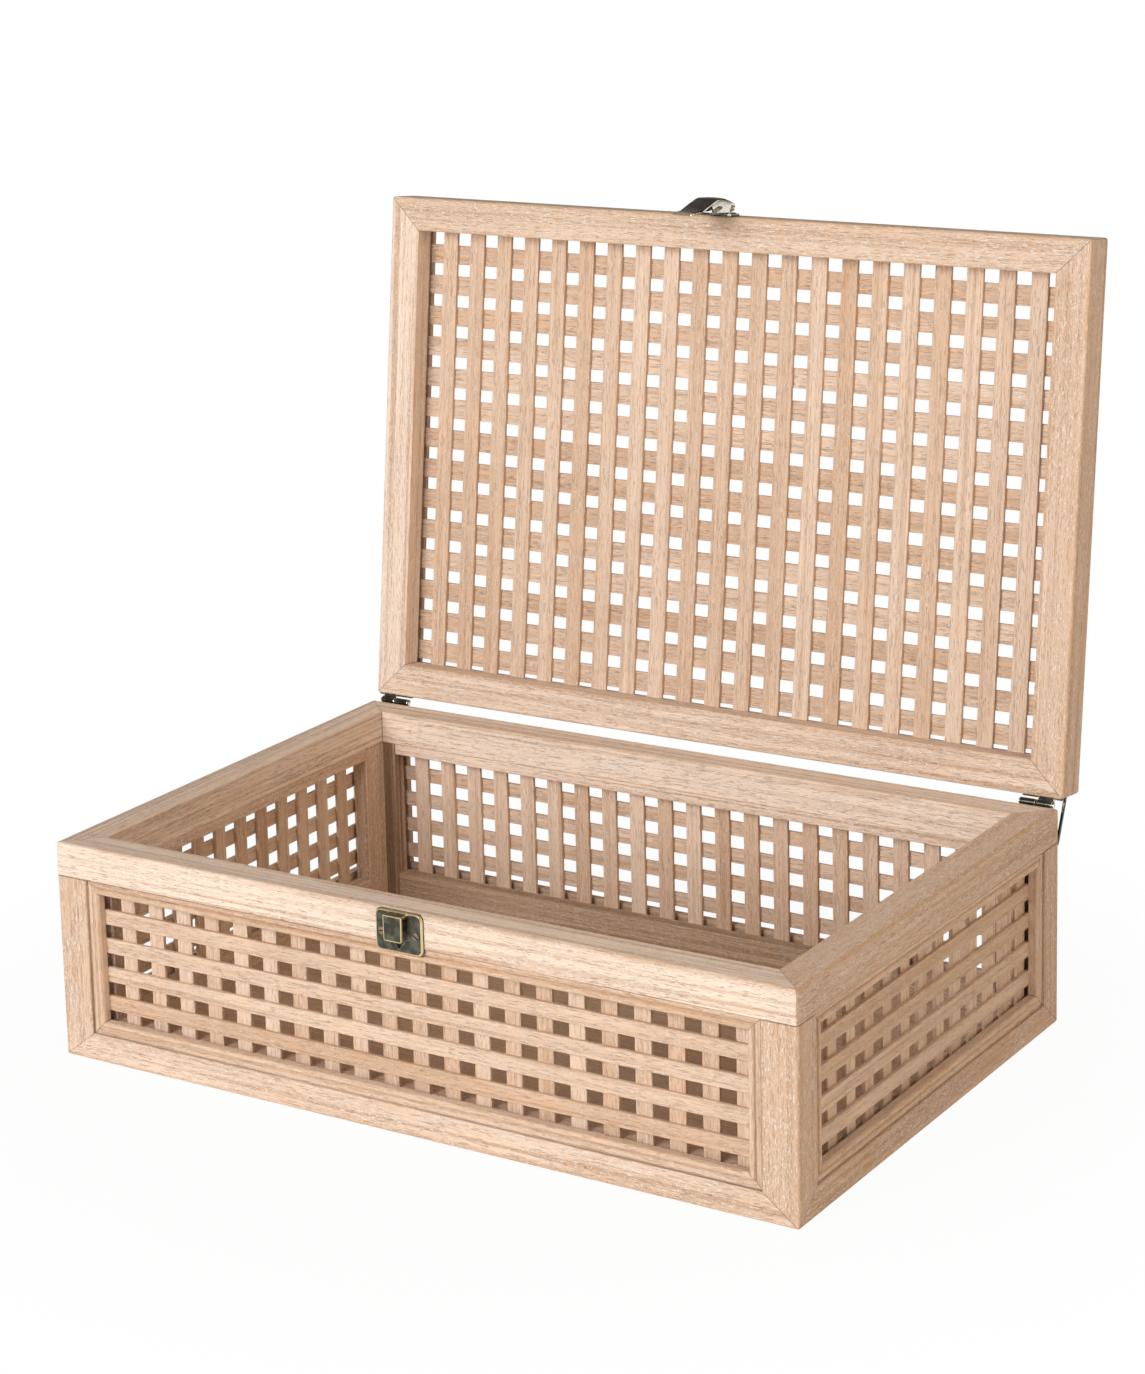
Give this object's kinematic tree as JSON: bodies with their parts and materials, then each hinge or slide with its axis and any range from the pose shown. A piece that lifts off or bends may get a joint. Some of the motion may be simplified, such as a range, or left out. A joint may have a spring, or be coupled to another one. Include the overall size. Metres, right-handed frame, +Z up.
{
  "type": "hinged lattice lid box",
  "caption": "Wooden box for papers and keepsakes with slatted lattice walls and a back-hinged lattice lid that opens past upright onto stop arms, held shut by a front hasp and hook.",
  "frame": {"origin": "centre of the box's underside, on the floor under the middle of the body", "axes": "+X to the right along the long front, -Y out of the front with the catch, +Z up; the lid stands open at the back"},
  "size_m": [0.38, 0.3159, 0.3718],
  "materials": {
    "rail_oak": "pale limed oak, matt, open grain along each rail",
    "moulding_oak": "pale limed oak strip, matt, grain along the strip",
    "slat_oak": "pale limed oak slats, planed, matt",
    "panel_oak": "pale oak panel, matt, sealed",
    "antique_bronze": "dark antique bronze plating, rubbed to brass at the edges",
    "screw_brass": "antiqued brass screws"
  },
  "bodies": {
    "box": {"floor": "panel_oak", "top_rail_front": "rail_oak", "post_front_left": "rail_oak", "post_front_right": "rail_oak", "foot_rail_front": "rail_oak", "head_rail_front": "rail_oak", "moulding_front": "moulding_oak", "slats_across_front": "slat_oak", "slats_upright_front": "slat_oak", "top_rail_right": "rail_oak", "post_right_left": "rail_oak", "post_right_right": "rail_oak", "foot_rail_right": "rail_oak", "head_rail_right": "rail_oak", "moulding_right": "moulding_oak", "slats_across_right": "slat_oak", "slats_upright_right": "slat_oak", "top_rail_back": "rail_oak", "post_back_left": "rail_oak", "post_back_right": "rail_oak", "foot_rail_back": "rail_oak", "head_rail_back": "rail_oak", "moulding_back": "moulding_oak", "slats_across_back": "slat_oak", "slats_upright_back": "slat_oak", "top_rail_left": "rail_oak", "post_left_left": "rail_oak", "post_left_right": "rail_oak", "foot_rail_left": "rail_oak", "head_rail_left": "rail_oak", "moulding_left": "moulding_oak", "slats_across_left": "slat_oak", "slats_upright_left": "slat_oak", "catch_plate": "antique_bronze", "catch_screws": "screw_brass", "hinge_right_body_leaf": "antique_bronze", "hinge_right_pin": "antique_bronze", "hinge_right_body_screws": "screw_brass", "hinge_left_body_leaf": "antique_bronze", "hinge_left_pin": "antique_bronze", "hinge_left_body_screws": "screw_brass"},
    "lid": {"lid_rail_front": "rail_oak", "lid_rail_right": "rail_oak", "lid_rail_back": "rail_oak", "lid_rail_left": "rail_oak", "lid_slats_deep": "slat_oak", "lid_slats_wide": "slat_oak", "lid_moulding": "moulding_oak", "hinge_right_lid_leaf": "antique_bronze", "hinge_right_lid_screws": "screw_brass", "hinge_left_lid_leaf": "antique_bronze", "hinge_left_lid_screws": "screw_brass", "hasp_base": "antique_bronze", "hasp_screws": "screw_brass", "hasp_pin": "antique_bronze"},
    "lever": {"hasp_lever": "antique_bronze"},
    "loop": {"hasp_loop": "antique_bronze"}
  },
  "joints": [
    {"name": "lid_hinge", "type": "hinge", "parent": "box", "child": "lid", "pos_m": [0, 0.1315, 0.103], "axis": [1, 0, 0], "range_deg": [0, 96.6]},
    {"name": "lever_pivot", "type": "hinge", "parent": "lid", "child": "lever", "pos_m": [0, 0.16378, 0.36543], "axis": [-1, 0, 0], "range_deg": [0, 100]},
    {"name": "loop_pivot", "type": "hinge", "parent": "lever", "child": "loop", "pos_m": [0, 0.15153, 0.36745], "axis": [-1, 0, 0], "range_deg": [0, 12.5]}
  ]
}
